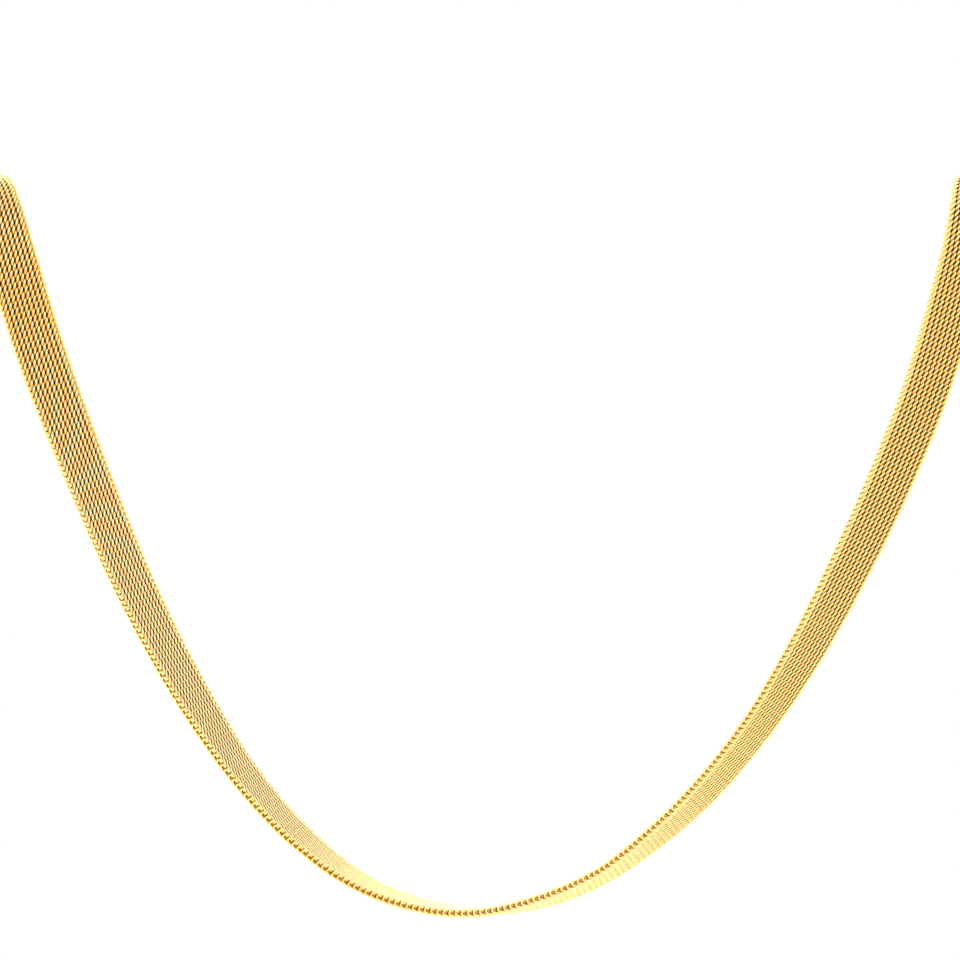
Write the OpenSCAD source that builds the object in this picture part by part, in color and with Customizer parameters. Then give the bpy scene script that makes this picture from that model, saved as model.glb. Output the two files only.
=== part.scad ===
// Necklace: a flat band of fine woven wire that hangs from the sides of the neck,
// with a plain clasp at the nape. X is to the wearer's left, Y to the back and Z up.
// The origin is the middle of the neck, level with the two crests of the band.

/* [Band] */
// Length of the whole necklace, clasp included
necklace_l = 461; // [410:1:520]
// Width of the band
band_w = 6; // [5:0.5:7]
// Thickness of the band
band_t = 1.1; // [0.8:0.1:1.4]
// How far the band's corners are taken off
band_corner = 0.2; // [0.1:0.05:0.35]
// Length of band between two rings of points
ring_step = 1.3; // [1:0.1:2]

/* [Clasp] */
// Length of the clasp along the band
clasp_l = 18; // [14:1:20]
// Wall of the clasp round the band's end
clasp_wall = 0.6; // [0.4:0.1:1]
// Gap between the band's end and the clasp
clasp_gap = 0.2; // [0.1:0.05:0.3]
// Depth of the pocket that takes each end of the band
pocket_l = 2.2; // [1.5:0.1:3]
// Rounding of the clasp's corners
clasp_r = 1.2; // [0.5:0.1:1.2]

/* [Hidden] */
$fn = 48;

// Smooth pieces between two stations
SUBSTEPS = 16;
// Middle of the nape
NAPE = [0, 31, 37];
// Stations of the band's middle line, from the clasp over the wearer's right side, round the front and
// back. wx, wy and wz are the direction across the band, from its front edge to its other edge.
//  x, y, z, wx, wy, wz
STATIONS = [
    [-10, 31, 37, 0, 0, -1],
    [-20, 30.3, 36.7, 0.1, 0, -1],
    [-34, 27.6, 35.2, 0.2, 0, -0.98],
    [-47, 22.2, 32.5, 0.35, 0.05, -0.93],
    [-57.3, 14, 27.8, 0.5, 0.1, -0.85],
    [-63.1, 5, 20.2, 0.7, 0.15, -0.7],
    [-65, -4.5, 12.2, 0.85, 0.2, -0.45],
    [-64, -12.8, 4.8, 0.93, 0.2, -0.25],
    [-62, -19.8, 0.9, 0.95, 0.27, -0.08],
    [-59.8, -26, -0.6, 0.95, 0.3, 0.03],
    [-58.4, -30.1, -1.8, 0.95, 0.26, 0.15],
    [-57.2, -33, -4.7, 0.95, 0.14, 0.26],
    [-56, -34, -8.6, 0.95, 0.05, 0.3],
    [-52.4, -34, -20.5, 0.93, 0.19, 0.31],
    [-46.4, -34, -36.4, 0.79, 0.53, 0.32],
    [-40.2, -34, -50.7, 0.65, 0.69, 0.32],
    [-33.5, -34, -63.1, 0.52, 0.8, 0.31],
    [-27.5, -34, -72, 0.37, 0.88, 0.28],
    [-21.1, -34, -79, 0.26, 0.92, 0.27],
    [-13.2, -34, -84.7, 0.11, 0.97, 0.2],
    [-1.8, -34, -87.7, 0, 1, 0.04],
    [8.3, -34, -86.1, 0.06, 0.98, -0.18],
    [14.3, -34, -83.5, 0.13, 0.97, -0.22],
    [20.7, -34, -78.9, 0.24, 0.93, -0.28],
    [26.4, -34, -73.6, 0.34, 0.88, -0.33],
    [32.3, -34, -66.5, 0.43, 0.84, -0.34],
    [38.1, -34, -57.6, 0.59, 0.73, -0.36],
    [43.7, -34, -47.1, 0.73, 0.6, -0.35],
    [48.7, -34, -36.4, 0.82, 0.47, -0.34],
    [52.9, -34, -25.8, 0.87, 0.38, -0.32],
    [55.9, -34, -16, 0.91, 0.31, -0.28],
    [57.8, -34, -8.6, 0.94, 0.26, -0.23],
    [58.6, -33, -4.7, 0.95, 0.17, -0.18],
    [59.2, -30.1, -1.8, 0.97, 0.05, -0.13],
    [60, -26, -0.6, 0.98, -0.08, -0.09],
    [62, -19.8, 0.9, 0.97, -0.17, -0.12],
    [64, -12.8, 4.8, 0.93, -0.1, -0.27],
    [65, -4.5, 12.2, 0.83, 0, -0.47],
    [63.1, 5, 20.2, 0.66, 0.05, -0.7],
    [57.3, 14, 27.8, 0.45, 0.05, -0.87],
    [47, 22.2, 32.5, 0.25, 0, -0.96],
    [34, 27.6, 35.2, 0.12, 0, -0.99],
    [20, 30.3, 36.7, 0.05, 0, -1],
    [10, 31, 37, 0, 0, -1]
];

function unit(v) = v / norm(v);
function place(row) = [row[0], row[1], row[2]];
function across(row) = [row[3], row[4], row[5]];

// Distance along straight lines from the first row to each row
function distances(rows) = [
    for (i = 0, s = 0; i < len(rows);
         i = i + 1, s = i < len(rows) ? s + norm(place(rows[i]) - place(rows[i - 1])) : s) s
];

// Slope of the smooth line at station i, where c holds the distances of the stations
function slope(rows, c, i) =
    i == 0 ? (rows[1] - rows[0]) / (c[1] - c[0]) :
    i == len(rows) - 1 ? (rows[i] - rows[i - 1]) / (c[i] - c[i - 1]) :
    let (before = c[i] - c[i - 1], after = c[i + 1] - c[i])
    ((rows[i] - rows[i - 1]) * after / before + (rows[i + 1] - rows[i]) * before / after)
    / (before + after);

// Point at part u of the smooth line between stations i and i + 1
function between(rows, c, i, u) =
    let (l = c[i + 1] - c[i])
    (2 * pow(u, 3) - 3 * pow(u, 2) + 1) * rows[i]
    + (pow(u, 3) - 2 * pow(u, 2) + u) * l * slope(rows, c, i)
    + (3 * pow(u, 2) - 2 * pow(u, 3)) * rows[i + 1]
    + (pow(u, 3) - pow(u, 2)) * l * slope(rows, c, i + 1);

function smooth_line(rows) =
    let (c = distances(rows), last = len(rows) - 1)
    [
        for (i = [0 : last - 1]) for (k = [0 : SUBSTEPS - 1]) between(rows, c, i, k / SUBSTEPS),
        rows[last]
    ];

// The band's line, ended in the clasp's pockets and scaled to the length of the necklace
end_x = clasp_l / 2 - pocket_l + clasp_gap;
table_line = smooth_line(STATIONS);
table_s = distances(table_line);
free_l = table_s[len(table_line) - 1];
table_l = free_l + 2 * abs(STATIONS[0][0]);
loop_k = necklace_l / table_l;

function scaled(row) = [row[0] * loop_k, row[1] * loop_k, row[2] * loop_k, row[3], row[4], row[5]];
function end_row(side) = [side * end_x, NAPE[1] * loop_k, NAPE[2] * loop_k, 0, 0, -1];
line = concat([end_row(-1)], [for (row = table_line) scaled(row)], [end_row(1)]);
line_s = distances(line);
band_l = line_s[len(line) - 1];

// The same line again, as rings at equal distances
ring_n = round(band_l / ring_step);
columns = [for (j = [0 : 5]) [for (i = [0 : len(line) - 1]) [line_s[i], line[i][j]]]];
function row_at(s) = [for (column = columns) lookup(s, column)];
rings = [for (i = [0 : ring_n]) row_at(i * band_l / ring_n)];

function along(i) = unit(place(rings[min(i + 1, ring_n)]) - place(rings[max(i - 1, 0)]));
function width_dir(i) = let (t = along(i), w = across(rings[i])) unit(w - (w * t) * t);

// The band's section: a rectangle with its corners taken off, as across and through
section = let (w = band_w / 2, t = band_t / 2, c = band_corner) [
    [w, c - t], [w, t - c], [w - c, t], [c - w, t],
    [-w, t - c], [-w, c - t], [c - w, -t], [w - c, -t]
];
section_n = len(section);

function ring_points(i) =
    let (w = width_dir(i), n = cross(along(i), w))
    [for (p = section) place(rings[i]) + p[0] * w + p[1] * n];

module woven_band() {
    points = [for (i = [0 : ring_n]) each ring_points(i)];
    last = ring_n * section_n;
    sides = [
        for (i = [0 : ring_n - 1]) for (j = [0 : section_n - 1])
            let (a = i * section_n + j, b = i * section_n + (j + 1) % section_n)
            each [[a, b, b + section_n], [a, b + section_n, a + section_n]]
    ];
    start_cap = [for (j = [1 : section_n - 2]) [0, j + 1, j]];
    end_cap = [for (j = [1 : section_n - 2]) [last, last + j, last + j + 1]];
    color("goldenrod") polyhedron(points, concat(sides, start_cap, end_cap));
}

// A plate of length l and width w with round corners of radius r, t high
module round_plate(l, w, t, r) {
    linear_extrude(t, center = true) {
        square([l - 2 * r, w], center = true);
        square([l, w - 2 * r], center = true);
        for (sx = [-1, 1], sy = [-1, 1])
            translate([sx * (l / 2 - r), sy * (w / 2 - r)]) circle(r);
    }
}

module clasp() {
    pocket_w = band_w + 2 * clasp_gap;
    pocket_t = band_t + 2 * clasp_gap;
    clasp_w = pocket_w + 2 * clasp_wall;
    clasp_t = pocket_t + 2 * clasp_wall;
    color("gold") translate(NAPE * loop_k)
    difference() {
        intersection() {
            rotate([90, 0, 0]) round_plate(clasp_l, clasp_w, clasp_t, clasp_r);
            rotate([0, 90, 0]) rotate(90) round_plate(clasp_t, clasp_w, clasp_l, clasp_wall);
        }
        for (side = [-1, 1])
            translate([side * clasp_l / 2, 0, 0])
            cube([2 * pocket_l, pocket_t, pocket_w], center = true);
    }
}

woven_band();
clasp();
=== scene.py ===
import math

import bpy
import numpy as np
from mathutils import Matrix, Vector


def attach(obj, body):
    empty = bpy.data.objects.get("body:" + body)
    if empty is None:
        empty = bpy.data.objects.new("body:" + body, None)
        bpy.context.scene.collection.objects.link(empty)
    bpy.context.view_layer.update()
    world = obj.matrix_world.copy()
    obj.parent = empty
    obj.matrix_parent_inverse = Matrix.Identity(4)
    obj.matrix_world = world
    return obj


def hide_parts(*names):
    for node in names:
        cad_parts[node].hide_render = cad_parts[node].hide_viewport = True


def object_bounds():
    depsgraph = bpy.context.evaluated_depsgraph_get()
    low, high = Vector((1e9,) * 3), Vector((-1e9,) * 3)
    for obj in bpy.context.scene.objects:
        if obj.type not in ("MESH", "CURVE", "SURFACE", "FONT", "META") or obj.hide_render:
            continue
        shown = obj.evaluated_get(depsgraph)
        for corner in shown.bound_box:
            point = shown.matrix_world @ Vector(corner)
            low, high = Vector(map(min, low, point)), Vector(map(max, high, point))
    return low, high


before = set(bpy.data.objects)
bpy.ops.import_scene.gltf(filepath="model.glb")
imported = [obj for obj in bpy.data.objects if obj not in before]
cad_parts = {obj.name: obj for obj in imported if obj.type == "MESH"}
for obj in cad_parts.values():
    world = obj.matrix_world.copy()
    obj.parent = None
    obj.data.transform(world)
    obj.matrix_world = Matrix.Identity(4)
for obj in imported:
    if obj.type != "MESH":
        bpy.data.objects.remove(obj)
cad_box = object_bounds()


# The woven band
# Some 600 flat coils of round gold-plated wire, each screwed through the coil before it, make one
# supple strip. Its ends sit in the clasp, and it hangs over the sides of the neck by its own weight.

# Places of the band's middle and, beside each, the direction from its front edge to its other edge.
# They run from the clasp over the wearer's right side, round the front and back, in metres.
STATIONS = np.array([
    # x, y, z, across x, across y, across z
    (-0.0100, 0.0310, 0.0370, 0.00, 0.00, -1.00),
    (-0.0200, 0.0303, 0.0367, 0.10, 0.00, -1.00),
    (-0.0340, 0.0276, 0.0352, 0.20, 0.00, -0.98),
    (-0.0470, 0.0222, 0.0325, 0.35, 0.05, -0.93),
    (-0.0573, 0.0140, 0.0278, 0.50, 0.10, -0.85),
    (-0.0631, 0.0050, 0.0202, 0.70, 0.15, -0.70),
    (-0.0650, -0.0045, 0.0122, 0.85, 0.20, -0.45),
    (-0.0640, -0.0128, 0.0048, 0.93, 0.20, -0.25),
    (-0.0620, -0.0198, 0.0009, 0.95, 0.27, -0.08),
    (-0.0598, -0.0260, -0.0006, 0.95, 0.30, 0.03),
    (-0.0584, -0.0301, -0.0018, 0.95, 0.26, 0.15),
    (-0.0572, -0.0330, -0.0047, 0.95, 0.14, 0.26),
    (-0.0560, -0.0340, -0.0086, 0.95, 0.05, 0.30),
    (-0.0524, -0.0340, -0.0205, 0.93, 0.19, 0.31),
    (-0.0464, -0.0340, -0.0364, 0.79, 0.53, 0.32),
    (-0.0402, -0.0340, -0.0507, 0.65, 0.69, 0.32),
    (-0.0335, -0.0340, -0.0631, 0.52, 0.80, 0.31),
    (-0.0275, -0.0340, -0.0720, 0.37, 0.88, 0.28),
    (-0.0211, -0.0340, -0.0790, 0.26, 0.92, 0.27),
    (-0.0132, -0.0340, -0.0847, 0.11, 0.97, 0.20),
    (-0.0018, -0.0340, -0.0877, 0.00, 1.00, 0.04),
    (0.0083, -0.0340, -0.0861, 0.06, 0.98, -0.18),
    (0.0143, -0.0340, -0.0835, 0.13, 0.97, -0.22),
    (0.0207, -0.0340, -0.0789, 0.24, 0.93, -0.28),
    (0.0264, -0.0340, -0.0736, 0.34, 0.88, -0.33),
    (0.0323, -0.0340, -0.0665, 0.43, 0.84, -0.34),
    (0.0381, -0.0340, -0.0576, 0.59, 0.73, -0.36),
    (0.0437, -0.0340, -0.0471, 0.73, 0.60, -0.35),
    (0.0487, -0.0340, -0.0364, 0.82, 0.47, -0.34),
    (0.0529, -0.0340, -0.0258, 0.87, 0.38, -0.32),
    (0.0559, -0.0340, -0.0160, 0.91, 0.31, -0.28),
    (0.0578, -0.0340, -0.0086, 0.94, 0.26, -0.23),
    (0.0586, -0.0330, -0.0047, 0.95, 0.17, -0.18),
    (0.0592, -0.0301, -0.0018, 0.97, 0.05, -0.13),
    (0.0600, -0.0260, -0.0006, 0.98, -0.08, -0.09),
    (0.0620, -0.0198, 0.0009, 0.97, -0.17, -0.12),
    (0.0640, -0.0128, 0.0048, 0.93, -0.10, -0.27),
    (0.0650, -0.0045, 0.0122, 0.83, 0.00, -0.47),
    (0.0631, 0.0050, 0.0202, 0.66, 0.05, -0.70),
    (0.0573, 0.0140, 0.0278, 0.45, 0.05, -0.87),
    (0.0470, 0.0222, 0.0325, 0.25, 0.00, -0.96),
    (0.0340, 0.0276, 0.0352, 0.12, 0.00, -0.99),
    (0.0200, 0.0303, 0.0367, 0.05, 0.00, -1.00),
    (0.0100, 0.0310, 0.0370, 0.00, 0.00, -1.00),
])
NECKLACE_LENGTH = 0.461
# Distance from the middle of the clasp to each end of the band, inside a pocket.
BAND_END_X = 0.007
# Steps of the smooth line from one station to the next.
LINE_STEPS = 16

BAND_WIDTH = 0.006
ROW_STEP = 0.000722
WIRE_DIAMETER = 0.00035
WIRE_SIDES = 6
# A wire of six flat sides is drawn a little thicker, so that it covers as much as a round one.
SIDES_SPREAD = 1.08
# A coil's size along the band and through it, between the edges and at them.
COIL_LENGTH = 0.0016
BAND_THICKNESS = 0.00098
EDGE_LENGTH = 0.0014
EDGE_THICKNESS = 0.0011
# Where the size at the edges begins and where it is reached, as parts of the width from its middle.
EDGE_FROM = 0.44
EDGE_FULL = 0.49
TURNS = 9.5
# The wire begins and ends with a quarter of a turn that stays by the band's edge.
END_TURNS = 1 / 4
STEPS_PER_TURN = 12
# How much a pass of wire over a face leans across the band. An even screw has 0.
PASS_LEAN = 1.2
# Depth from the band's edge that counts as much as half its thickness does from its face.
EDGE_REACH = 0.0018
# Each row is turned a little at random, by this at most.
ROW_PLAY = math.radians(0.4)
PLAY_SEED = 11
# The weave is kept as six pieces, because one alone would have too many faces.
STRETCHES = (
    "weave_nape_right",
    "weave_neck_right",
    "weave_front_right",
    "weave_front_left",
    "weave_neck_left",
    "weave_nape_left",
)


def distances(line):
    steps = np.linalg.norm(np.diff(line[:, :3], axis=0), axis=1)
    return np.concatenate([[0], np.cumsum(steps)])


def slopes(stations, run):
    """The smooth line's slope at each station, from the stretches before and after it."""
    step = np.diff(run)[:, None]
    rise = np.diff(stations, axis=0) / step
    middle = (rise[:-1] * step[1:] + rise[1:] * step[:-1]) / (step[:-1] + step[1:])
    return np.concatenate([rise[:1], middle, rise[-1:]])


def smooth_line(stations):
    run = distances(stations)
    slope = slopes(stations, run)
    line = []
    for i in range(len(stations) - 1):
        reach = run[i + 1] - run[i]
        for u in np.arange(LINE_STEPS) / LINE_STEPS:
            line.append(
                (2 * u**3 - 3 * u**2 + 1) * stations[i]
                + (u**3 - 2 * u**2 + u) * reach * slope[i]
                + (3 * u**2 - 2 * u**3) * stations[i + 1]
                + (u**3 - u**2) * reach * slope[i + 1]
            )
    return np.array(line + [stations[-1]])


def band_line():
    """The band's middle line between the clasp's pockets, brought to the necklace's real length."""
    line = smooth_line(STATIONS)
    table_length = distances(line)[-1] + 2 * abs(STATIONS[0, 0])
    line[:, :3] *= NECKLACE_LENGTH / table_length
    first, last = line[0].copy(), line[-1].copy()
    first[0], last[0] = -BAND_END_X, BAND_END_X
    return np.vstack([first, line, last])


def at_distance(line, run, s):
    return np.stack([np.interp(s, run, line[:, j]) for j in range(line.shape[1])], axis=1)


def row_places():
    """Middle, direction along and direction across of each row of wire, at equal distances."""
    line = band_line()
    run = distances(line)
    first, last = COIL_LENGTH / 2, run[-1] - COIL_LENGTH / 2
    count = round((last - first) / ROW_STEP) + 1
    s = np.linspace(first, last, count)
    middle = at_distance(line, run, s)
    along = at_distance(line, run, s + COIL_LENGTH / 2) - at_distance(line, run, s - COIL_LENGTH / 2)
    along = along[:, :3] / np.linalg.norm(along[:, :3], axis=1)[:, None]
    across = middle[:, 3:] - (middle[:, 3:] * along).sum(1)[:, None] * along
    across /= np.linalg.norm(across, axis=1)[:, None]
    return middle[:, :3], along, across


class Amount:
    """What a node gives. Sums of amounts are written as plain expressions, and add Math nodes."""

    def __init__(self, bench, socket):
        self.bench = bench
        self.socket = socket

    def worked(self, operation, *values):
        return self.bench.node("ShaderNodeMath", {"operation": operation}, dict(enumerate(values)))

    def __add__(self, other):
        return self.worked("ADD", self, other)

    def __sub__(self, other):
        return self.worked("SUBTRACT", self, other)

    def __rsub__(self, other):
        return self.worked("SUBTRACT", other, self)

    def __mul__(self, other):
        return self.worked("MULTIPLY", self, other)

    def __truediv__(self, other):
        return self.worked("DIVIDE", self, other)

    def __rtruediv__(self, other):
        return self.worked("DIVIDE", other, self)

    __radd__ = __add__
    __rmul__ = __mul__


class Bench:
    """A tree of nodes on which a weave, a finish or the light is laid out."""

    def __init__(self, tree):
        self.tree = tree
        tree.nodes.clear()

    def node(self, kind, settings=None, values=None, give=0):
        """Adds a node, sets its settings and then its sockets, and returns one of its outputs."""
        made = self.tree.nodes.new(kind)
        for name, setting in (settings or {}).items():
            if name == "stops":
                ramp = made.color_ramp.elements
                while len(ramp) < len(setting):
                    ramp.new(0.5)
                for element, (place, colour) in zip(ramp, setting):
                    element.position = place
                    element.color = (*colour, 1)
            else:
                setattr(made, name, setting)
        for name, value in (values or {}).items():
            if isinstance(name, int):
                socket = made.inputs[name]
            else:
                socket = next(s for s in made.inputs if s.name == name and s.enabled)
            if isinstance(value, Amount):
                self.tree.links.new(value.socket, socket)
            else:
                socket.default_value = value
        if not made.outputs:
            return None
        if isinstance(give, int):
            return Amount(self, [s for s in made.outputs if s.enabled][give])
        return Amount(self, next(s for s in made.outputs if s.name == give and s.enabled))


def woven_rows_tree():
    """Turns a row of points into coils of wire. A point holds the directions along and across."""
    tree = bpy.data.node_groups.new("woven rows", "GeometryNodeTree")
    for name, kind in (
        ("Rows", "NodeSocketGeometry"),
        ("Wire diameter", "NodeSocketFloat"),
        ("Sides spread", "NodeSocketFloat"),
        ("Coil length", "NodeSocketFloat"),
        ("Band thickness", "NodeSocketFloat"),
        ("Edge length", "NodeSocketFloat"),
        ("Edge thickness", "NodeSocketFloat"),
        ("Edge from", "NodeSocketFloat"),
        ("Edge full", "NodeSocketFloat"),
        ("Band width", "NodeSocketFloat"),
        ("Turns", "NodeSocketFloat"),
        ("End turns", "NodeSocketFloat"),
        ("Edge reach", "NodeSocketFloat"),
        ("Lean", "NodeSocketFloat"),
        ("Steps per turn", "NodeSocketInt"),
        ("Wire sides", "NodeSocketInt"),
        ("Play", "NodeSocketFloat"),
        ("Play seed", "NodeSocketInt"),
        ("Finish", "NodeSocketMaterial"),
    ):
        tree.interface.new_socket(name, in_out="INPUT", socket_type=kind)
    tree.interface.new_socket("Weave", in_out="OUTPUT", socket_type="NodeSocketGeometry")
    weave = Bench(tree)

    def given(name):
        return weave.node("NodeGroupInput", give=name)

    def join_xyz(x, y, z):
        return weave.node("ShaderNodeCombineXYZ", values={"X": x, "Y": y, "Z": z})

    def own(name):
        return weave.node("GeometryNodeInputNamedAttribute", {"data_type": "FLOAT_VECTOR"}, {"Name": name})

    wire = given("Wire diameter")
    steps = given("Steps per turn")
    turns = given("Turns")
    width = given("Band width") - wire
    turn = weave.node("GeometryNodeInputIndex") / steps - given("End turns")
    angle = turn * math.tau

    def half_size(part, inner, outer):
        """Half of a size of the coil at a part of the band's width. It changes near the band's edges."""
        return weave.node(
            "ShaderNodeMapRange",
            {"interpolation_type": "SMOOTHSTEP"},
            {
                "Value": part.worked("ABSOLUTE", part),
                "From Min": given("Edge from"),
                "From Max": given("Edge full"),
                "To Min": given(inner) / 2,
                "To Max": given(outer) / 2,
            },
        )

    twice = angle * 2
    stepped = turn - given("Lean") * twice.worked("SINE", twice) / math.tau
    between_ends = stepped.worked("MINIMUM", stepped.worked("MAXIMUM", stepped, 0), turns)
    part = between_ends / turns - 0.5
    half_length = half_size(part, "Coil length", "Edge length")
    half_thickness = half_size(part, "Band thickness", "Edge thickness")
    place = join_xyz(
        (wire / 2 - half_length) * angle.worked("COSINE", angle),
        (half_thickness - wire / 2) * angle.worked("SINE", angle),
        width * part,
    )
    all_turns = turns + 2 * given("End turns")
    points = weave.node("GeometryNodeMeshLine", values={"Count": all_turns * steps + 1})
    line = weave.node("GeometryNodeMeshToCurve", values={"Mesh": points})
    line = weave.node("GeometryNodeSetPosition", values={"Geometry": line, "Position": place})
    line = weave.node("GeometryNodeSetCurveNormal", {"mode": "Z_UP"}, {"Curve": line})
    ring = weave.node(
        "GeometryNodeCurvePrimitiveCircle",
        values={"Resolution": given("Wire sides"), "Radius": wire / 2 * given("Sides spread")},
    )
    coil = weave.node(
        "GeometryNodeCurveToMesh", values={"Curve": line, "Profile Curve": ring, "Fill Caps": True}
    )
    spot = weave.node("GeometryNodeInputPosition")
    y, z = (weave.node("ShaderNodeSeparateXYZ", values={"Vector": spot}, give=axis) for axis in "YZ")
    face = half_size(z / given("Band width"), "Band thickness", "Edge thickness")
    below_face = 1 - y.worked("ABSOLUTE", y) / face
    below_edge = (given("Band width") / 2 - z.worked("ABSOLUTE", z)) / given("Edge reach")
    sunk = below_face.worked("MINIMUM", below_face, below_edge)
    coil = weave.node(
        "GeometryNodeStoreNamedAttribute",
        {"data_type": "FLOAT", "domain": "POINT"},
        {"Geometry": coil, "Name": "sunk", "Value": sunk},
    )
    coil = weave.node("GeometryNodeSetShadeSmooth", values={"Geometry": coil})
    turned = weave.node(
        "FunctionNodeAxesToRotation",
        {"primary_axis": "X", "secondary_axis": "Z"},
        {"Primary Axis": own("along"), "Secondary Axis": own("across")},
    )
    rows = weave.node(
        "GeometryNodeInstanceOnPoints",
        values={"Points": given("Rows"), "Instance": coil, "Rotation": turned},
    )
    most = given("Play")
    least = 0 - most
    loose = weave.node(
        "FunctionNodeRandomValue",
        {"data_type": "FLOAT_VECTOR"},
        {
            "Min": join_xyz(least, least, least),
            "Max": join_xyz(most, most, most),
            "Seed": given("Play seed"),
        },
    )
    rows = weave.node("GeometryNodeRotateInstances", values={"Instances": rows, "Rotation": loose})
    rows = weave.node("GeometryNodeRealizeInstances", values={"Geometry": rows})
    rows = weave.node("GeometryNodeSetMaterial", values={"Geometry": rows, "Material": given("Finish")})
    weave.node("NodeGroupOutput", values={"Weave": rows})
    return tree


# Colours of the plating by depth in the weave: a dark brown painted shade deep inside, the gold part of the
# way up, and a paler painted highlight on the wire at its faces.
WOVEN_SHADE_AND_HIGHLIGHT_COLOURS = (
    (0.0, (0.17, 0.038, 0.0)),
    (0.38, (0.8, 0.53, 0.15)),
    (1.0, (1.0, 0.77, 0.37)),
)
# Depths in the weave, as parts of half the band: the painted highlight is full down to the first, the
# painted shade is full from the second.
HIGHLIGHT_PAINTED_TO = 0.04
SHADE_PAINTED_FROM = 0.27


def woven_gold():
    """Bright plating on fine wire, with a painted highlight at its faces and painted shade inside the
    weave; it is also smoother at the faces and rougher inside.
    """
    material = bpy.data.materials.new("woven_gold")
    material.use_nodes = True
    finish = Bench(material.node_tree)
    sunk = finish.node("ShaderNodeAttribute", {"attribute_name": "sunk"}, give="Fac")
    # 1 on the wire at the band's faces, 0 deep inside: how much painted highlight, against painted shade,
    # the colour gets.
    painted_crest_light = finish.node(
        "ShaderNodeMapRange",
        {"interpolation_type": "SMOOTHSTEP"},
        {"Value": sunk, "From Min": SHADE_PAINTED_FROM, "From Max": HIGHLIGHT_PAINTED_TO},
    )
    # The colour carries painted shade in the weave's hollows and a painted highlight on the crests; the
    # lower metallic inside keeps that painted shade brown.
    colour = finish.node("ShaderNodeValToRGB", {"stops": WOVEN_SHADE_AND_HIGHLIGHT_COLOURS}, {"Fac": painted_crest_light}, give="Color")
    gold = finish.node(
        "ShaderNodeBsdfPrincipled",
        values={
            "Base Color": colour,
            "Metallic": 0.2 + painted_crest_light * 0.8,
            "Specular IOR Level": 0.2,
            "Specular Tint": (1.0, 0.72, 0.32, 1),
            "Roughness": 0.34 - painted_crest_light * 0.1,
        },
    )
    finish.node("ShaderNodeOutputMaterial", values={"Surface": gold})
    return material


def set_input(modifier, name, value):
    sockets = modifier.node_group.interface.items_tree
    modifier[next(s.identifier for s in sockets if s.name == name and s.in_out == "INPUT")] = value


weave_tree = woven_rows_tree()
weave_finish = woven_gold()
middle, along, across = row_places()
for name, rows in zip(STRETCHES, np.array_split(np.arange(len(middle)), len(STRETCHES))):
    mesh = bpy.data.meshes.new(name)
    mesh.from_pydata(middle[rows], [], [])
    for label, directions in (("along", along), ("across", across)):
        attribute = mesh.attributes.new(label, "FLOAT_VECTOR", "POINT")
        attribute.data.foreach_set("vector", directions[rows].astype(np.float32).ravel())
    stretch = bpy.data.objects.new(name, mesh)
    bpy.context.scene.collection.objects.link(stretch)
    rule = stretch.modifiers.new("woven rows", "NODES")
    rule.node_group = weave_tree
    set_input(rule, "Wire diameter", WIRE_DIAMETER)
    set_input(rule, "Sides spread", SIDES_SPREAD)
    set_input(rule, "Coil length", COIL_LENGTH)
    set_input(rule, "Band thickness", BAND_THICKNESS)
    set_input(rule, "Edge length", EDGE_LENGTH)
    set_input(rule, "Edge thickness", EDGE_THICKNESS)
    set_input(rule, "Edge from", EDGE_FROM)
    set_input(rule, "Edge full", EDGE_FULL)
    set_input(rule, "Band width", BAND_WIDTH)
    set_input(rule, "Turns", TURNS)
    set_input(rule, "End turns", END_TURNS)
    set_input(rule, "Edge reach", EDGE_REACH)
    set_input(rule, "Lean", PASS_LEAN)
    set_input(rule, "Steps per turn", STEPS_PER_TURN)
    set_input(rule, "Wire sides", WIRE_SIDES)
    set_input(rule, "Play", ROW_PLAY)
    set_input(rule, "Play seed", PLAY_SEED)
    set_input(rule, "Finish", weave_finish)
    woven = bpy.data.meshes.new_from_object(stretch.evaluated_get(bpy.context.evaluated_depsgraph_get()))
    stretch.modifiers.clear()
    stretch.data = woven
    bpy.data.meshes.remove(mesh)
    woven.name = name
    for label in ("along", "across"):
        woven.attributes.remove(woven.attributes[label])
    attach(stretch, "root")
    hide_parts("woven_band")


# The clasp
# One plain plated piece behind the neck, with a pocket at each end that the band is soldered into.
# Its faces are polished, with fine hairlines along its length from wear.

CLASP_GOLD = (0.78, 0.46, 0.12, 1)
CLASP_PALE_GOLD = (0.84, 0.54, 0.17, 1)
# How close the hairlines lie along the clasp, through it and across it, and how deep they are.
HAIR_SCALE = (300, 9000, 9000)
HAIR_DEPTH = 0.00002
# How quickly the two golds change into each other over the clasp.
CLOUD_SCALE = 400.0


def polished_gold():
    material = bpy.data.materials.new("polished_gold")
    material.use_nodes = True
    finish = Bench(material.node_tree)
    place = finish.node("ShaderNodeTexCoord", give="Object")
    stretched = finish.node("ShaderNodeMapping", values={"Vector": place, "Scale": HAIR_SCALE})
    hairs = finish.node("ShaderNodeTexNoise", values={"Vector": stretched, "Scale": 1.0, "Detail": 3.0})
    cloud = finish.node("ShaderNodeTexNoise", values={"Vector": place, "Scale": CLOUD_SCALE, "Detail": 2.0})
    colour = finish.node(
        "ShaderNodeMix",
        {"data_type": "RGBA"},
        {"Factor": cloud, "A": CLASP_GOLD, "B": CLASP_PALE_GOLD},
    )
    bump = finish.node("ShaderNodeBump", values={"Strength": 0.25, "Distance": HAIR_DEPTH, "Height": hairs})
    gold = finish.node(
        "ShaderNodeBsdfPrincipled",
        values={
            "Base Color": colour,
            "Metallic": 1.0,
            "Roughness": 0.16 + hairs * 0.16,
            "Normal": bump,
        },
    )
    finish.node("ShaderNodeOutputMaterial", values={"Surface": gold})
    return material


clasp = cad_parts["clasp"]
clasp.data.materials.clear()
clasp.data.materials.append(polished_gold())


# The floor
# A plain pale disc well below the necklace, out of the photograph's view.

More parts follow.
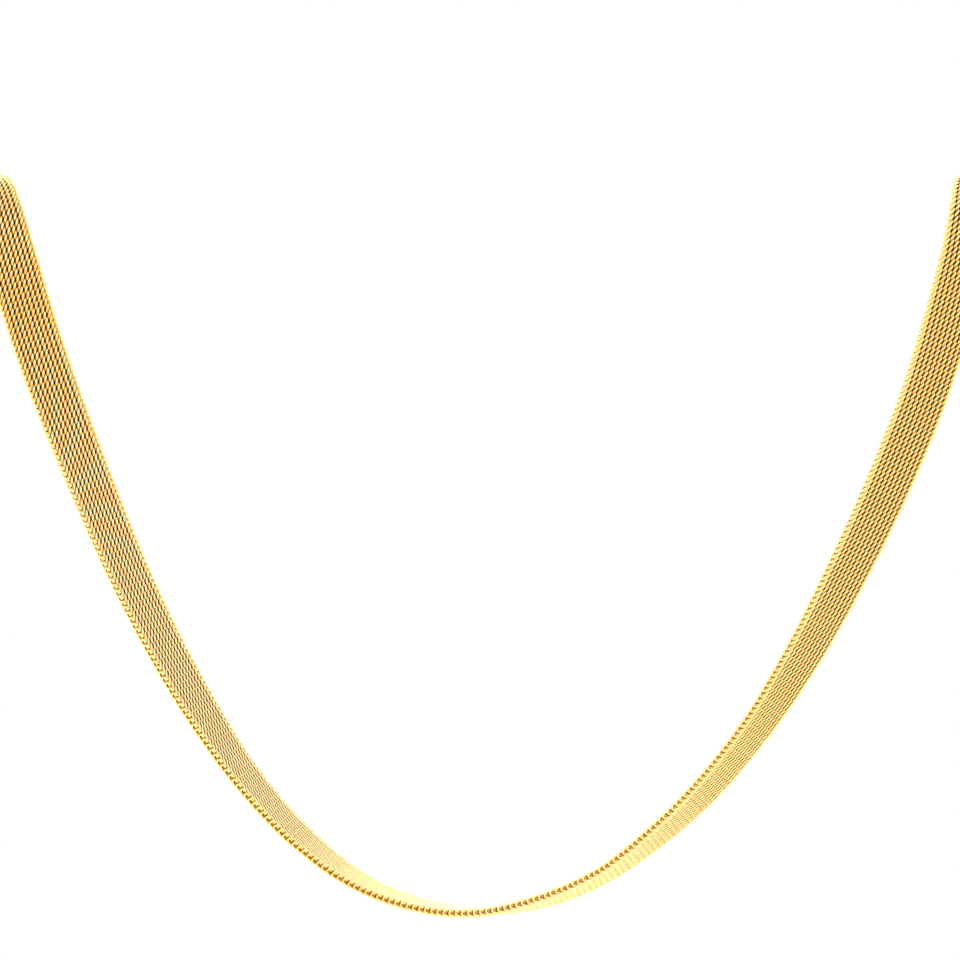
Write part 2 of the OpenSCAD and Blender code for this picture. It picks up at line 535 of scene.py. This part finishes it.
FLOOR_DROP = 0.3
FLOOR_RADIUS = 0.32
FLOOR_SIDES = 96
FLOOR_WHITE = (0.85, 0.85, 0.84, 1)
bpy.ops.mesh.primitive_circle_add(
    vertices=FLOOR_SIDES,
    radius=FLOOR_RADIUS,
    fill_type="NGON",
    location=(0, 0, cad_box[0].z - FLOOR_DROP),
)
floor = bpy.context.object
floor.name = "floor"
floor_material = bpy.data.materials.new("pale_floor")
floor_material.use_nodes = True
floor_finish = Bench(floor_material.node_tree)
floor_white = floor_finish.node(
    "ShaderNodeBsdfPrincipled", values={"Base Color": FLOOR_WHITE, "Roughness": 0.8}
)
floor_finish.node("ShaderNodeOutputMaterial", values={"Surface": floor_white})
floor.data.materials.append(floor_material)


# The light
# A white tent on all sides, a little dimmer round the camera. Two cool bright strips hang at its back,
# one high and one low. Its lower part is warm, and so is a card at the upper left.

COOL_WHITE = (0.97, 1.12, 1.5, 1)
WARM_WHITE = (1.22, 0.87, 0.2, 1)
STRIP_WHITE = (0.8, 1.1, 1.6, 1)
# Strength of the tent's wall, and what its lower part adds.
TENT_STRENGTH = 1.15
LOWER_GAIN = 0.25
# What the strips add, how that grows with height, and how far they lean back.
STRIP_STRENGTH = 2.4
STRIP_RISE = 1.6
STRIP_LEAN = 0.3
# Share of the warm white on the card.
CARD_SHARE = 0.7
# Share that the wall loses round the camera, and what is lost besides below it.
CAMERA_SHADE = 0.1
LOWER_SHADE = 0.28

world = bpy.data.worlds.new("tent")
bpy.context.scene.world = world
world.use_nodes = True
tent = Bench(world.node_tree)
way = tent.node("ShaderNodeTexCoord", give="Generated")
aside, deep, high = (
    tent.node("ShaderNodeSeparateXYZ", values={"Vector": way}, give=axis) for axis in "XYZ"
)


def part_of_tent(value, start, full):
    """A share that rises smoothly over a stretch of the tent's wall, from 0 at start to 1 at full."""
    return tent.node(
        "ShaderNodeMapRange",
        {"interpolation_type": "SMOOTHSTEP"},
        {"Value": value, "From Min": start, "From Max": full},
    )


def blend(share, colour, other):
    return tent.node("ShaderNodeMix", {"data_type": "RGBA"}, {"Factor": share, "A": colour, "B": other})


back = part_of_tent(deep - STRIP_LEAN * high, start=0.12, full=0.68)
off_level = part_of_tent(high.worked("ABSOLUTE", high), start=0.08, full=0.36)
strips = back * off_level
near_camera = part_of_tent(deep, start=-0.45, full=-0.75)
below = part_of_tent(high, start=0.2, full=-0.35)
warm_card = CARD_SHARE * part_of_tent(high - aside, start=0.3, full=1.0)
warm = below.worked("MAXIMUM", below, warm_card)
wall = TENT_STRENGTH + LOWER_GAIN * below + strips * (STRIP_STRENGTH + STRIP_RISE * high)
strength = wall * (1 - near_camera * (CAMERA_SHADE + LOWER_SHADE * below))
tint = blend(strips, blend(warm, COOL_WHITE, WARM_WHITE), STRIP_WHITE)
seen = tent.node("ShaderNodeLightPath", give="Is Camera Ray")
around = tent.node("ShaderNodeBackground", values={"Color": tint, "Strength": strength})
backdrop = tent.node("ShaderNodeBackground", values={"Color": (1, 1, 1, 1), "Strength": 1.0})
shown = tent.node("ShaderNodeMixShader", values={0: seen, 1: around, 2: backdrop})
tent.node("ShaderNodeOutputWorld", values={"Surface": shown})


LAMP_HEIGHT = 0.6
LAMP_POWER = 1
AIM = Vector((0, -0.03, -0.03))


def soft_light(name, place, width):
    """A weak lamp in front of the necklace, aimed at its middle."""
    light = bpy.data.lights.new(name, "AREA")
    light.shape = "RECTANGLE"
    light.size = width
    light.size_y = LAMP_HEIGHT
    light.energy = LAMP_POWER
    lamp = bpy.data.objects.new(name, light)
    bpy.context.scene.collection.objects.link(lamp)
    lamp.location = place
    lamp.rotation_euler = (AIM - Vector(place)).to_track_quat("-Z", "Y").to_euler()


soft_light("key_left", (-0.7, -0.9, 0.5), width=0.35)
soft_light("key_right", (0.8, -0.8, 0.3), width=0.25)


# The view
# The photograph looks level from far off, straight along the depth of the neck. Its left and right
# edges cut the band where it turns back over the sides of the neck.

# The depth at which the band's front stretch hangs, and the height of the picture's middle.
FRONT_Y = -0.0339
VIEW_Z = -0.03645
VIEW_DISTANCE = 1.6
# The picture is this wide at the front stretch of the band.
VIEW_WIDTH = 0.1136
SENSOR = 36.0
lens = bpy.data.cameras.new("view")
lens.sensor_width = SENSOR
lens.lens = SENSOR * VIEW_DISTANCE / VIEW_WIDTH
lens.clip_start = 0.01
camera = bpy.data.objects.new("view", lens)
bpy.context.scene.collection.objects.link(camera)
camera.location = (0, FRONT_Y - VIEW_DISTANCE, VIEW_Z)
camera.rotation_euler = (math.pi / 2, 0, 0)
bpy.context.scene.camera = camera
bpy.context.scene.view_settings.view_transform = "Standard"
